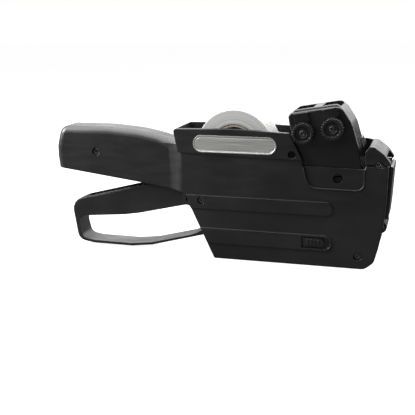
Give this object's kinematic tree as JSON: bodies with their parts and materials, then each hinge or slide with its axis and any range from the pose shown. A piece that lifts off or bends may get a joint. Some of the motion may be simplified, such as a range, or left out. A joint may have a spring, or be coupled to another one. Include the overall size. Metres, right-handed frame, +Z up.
{
  "type": "price labeling gun",
  "caption": "Hand-held two-line price labelling gun: split plastic casing with handle, loop squeeze lever, swinging print head with selector knobs, label roll in an open well.",
  "frame": {"origin": "middle of the flat base that the labeller stands on, on the middle plane between the two shells", "axes": "+X to the nose, +Y to the left side, +Z up"},
  "size_m": [0.2394, 0.0416, 0.1089],
  "materials": {
    "casing": "black moulded ABS, fine satin texture",
    "lever": "black moulded nylon, satin",
    "inner_plastic": "dark grey moulded plastic",
    "name_plate": "silver foil, satin",
    "paper": "white label paper",
    "card": "wound card tube",
    "steel": "plated steel",
    "type_rubber": "moulded rubber type",
    "ink_foam": "inked foam",
    "roller_rubber": "matt rubber"
  },
  "bodies": {
    "casing": {"right_shell": "casing", "left_shell": "casing", "nose_cap": "casing", "front_plate": "casing", "name_plate_right": "name_plate", "name_plate_left": "name_plate", "handle_screw": "steel", "rear_screw": "steel", "front_screw": "steel", "nose_screw_right": "steel", "nose_screw_left": "steel", "trigger_axle": "steel", "ink_arm_axle": "steel", "feed_axle": "steel", "gate_axle": "steel", "applicator_axle": "steel", "head_pin_right": "steel", "head_pin_left": "steel", "roll_cradle": "inner_plastic", "label_web": "paper", "trigger_spring": "steel", "platen": "inner_plastic"},
    "trigger": {"trigger": "lever", "drive_pin": "steel"},
    "print_head": {"print_arm": "steel", "head_housing": "casing", "type_anvil": "inner_plastic", "rear_digit_bands": "type_rubber", "rear_band_wheel": "inner_plastic", "front_digit_bands": "type_rubber", "front_band_wheel": "inner_plastic"},
    "rear_selector": {"rear_selector_shaft": "steel"},
    "rear_knob": {"rear_selector_knob": "lever", "rear_knob_screw": "steel"},
    "front_selector": {"front_selector_shaft": "steel"},
    "front_knob": {"front_selector_knob": "lever", "front_knob_screw": "steel"},
    "label_supply": {"label_roll": "paper", "roll_core": "card", "roll_hub": "inner_plastic"},
    "ink_arm": {"ink_arm": "inner_plastic"},
    "ink_roller": {"ink_roller": "ink_foam", "ink_core": "steel"},
    "feed_drum": {"feed_wheel": "roller_rubber", "feed_ratchet": "steel"},
    "feed_lever": {"feed_lever": "steel"},
    "gate": {"base_gate": "casing"},
    "latch": {"gate_latch": "casing"},
    "applicator": {"applicator_roller": "roller_rubber"}
  },
  "joints": [
    {"name": "trigger_squeeze", "type": "hinge", "parent": "casing", "child": "trigger", "pos_m": [-0.0395, 0, 0.026], "axis": [0, 1, 0], "range_deg": [0, 16], "stiffness_Nm_per_rad": 0.25, "springref_deg": -28.65},
    {"name": "head_swing", "type": "hinge", "parent": "casing", "child": "print_head", "pos_m": [-0.0485, 0, 0.0428], "axis": [0, 1, 0], "range_deg": [0, 10.5]},
    {"name": "ink_arm_swing", "type": "hinge", "parent": "casing", "child": "ink_arm", "pos_m": [0.06, 0, 0.062], "axis": [0, 1, 0], "range_deg": [-50, 0]},
    {"name": "ink_roller_spin", "type": "hinge", "parent": "ink_arm", "child": "ink_roller", "pos_m": [0.046, 0, 0.051], "axis": [0, 1, 0], "continuous": true},
    {"name": "feed_lever_swing", "type": "hinge", "parent": "casing", "child": "feed_lever", "pos_m": [0.02, 0, 0.022], "axis": [0, 1, 0], "range_deg": [-20, 0]},
    {"name": "feed_wheel_spin", "type": "hinge", "parent": "casing", "child": "feed_drum", "pos_m": [0.02, 0, 0.022], "axis": [0, 1, 0], "continuous": true},
    {"name": "roll_spin", "type": "hinge", "parent": "casing", "child": "label_supply", "pos_m": [-0.0345, 0, 0.0773], "axis": [0, 1, 0], "continuous": true},
    {"name": "rear_selector_pull", "type": "slide", "parent": "print_head", "child": "rear_selector", "axis": [0, -1, 0], "range_m": [0, 0.0198]},
    {"name": "rear_knob_turn", "type": "hinge", "parent": "rear_selector", "child": "rear_knob", "pos_m": [0.01335, 0, 0.09047], "axis": [0, 1, 0], "continuous": true},
    {"name": "front_selector_pull", "type": "slide", "parent": "print_head", "child": "front_selector", "axis": [0, -1, 0], "range_m": [0, 0.0198]},
    {"name": "front_knob_turn", "type": "hinge", "parent": "front_selector", "child": "front_knob", "pos_m": [0.03232, 0, 0.09399], "axis": [0, 1, 0], "continuous": true},
    {"name": "gate_open", "type": "hinge", "parent": "casing", "child": "gate", "pos_m": [0.01, 0, 0.0035], "axis": [0, 1, 0], "range_deg": [0, 75]},
    {"name": "latch_slide", "type": "slide", "parent": "casing", "child": "latch", "axis": [1, 0, 0], "range_m": [0, 0.0028], "stiffness_N_per_m": 150, "springref_m": -0.002},
    {"name": "applicator_spin", "type": "hinge", "parent": "casing", "child": "applicator", "pos_m": [0.0648, 0, 0.0286], "axis": [0, 1, 0], "continuous": true}
  ],
  "couplings": [
    {"joint": "head_swing", "follows": "trigger_squeeze", "ratio": 0.65625},
    {"joint": "ink_arm_swing", "follows": "trigger_squeeze", "ratio": -3.125},
    {"joint": "feed_lever_swing", "follows": "trigger_squeeze", "ratio": -1.25}
  ]
}
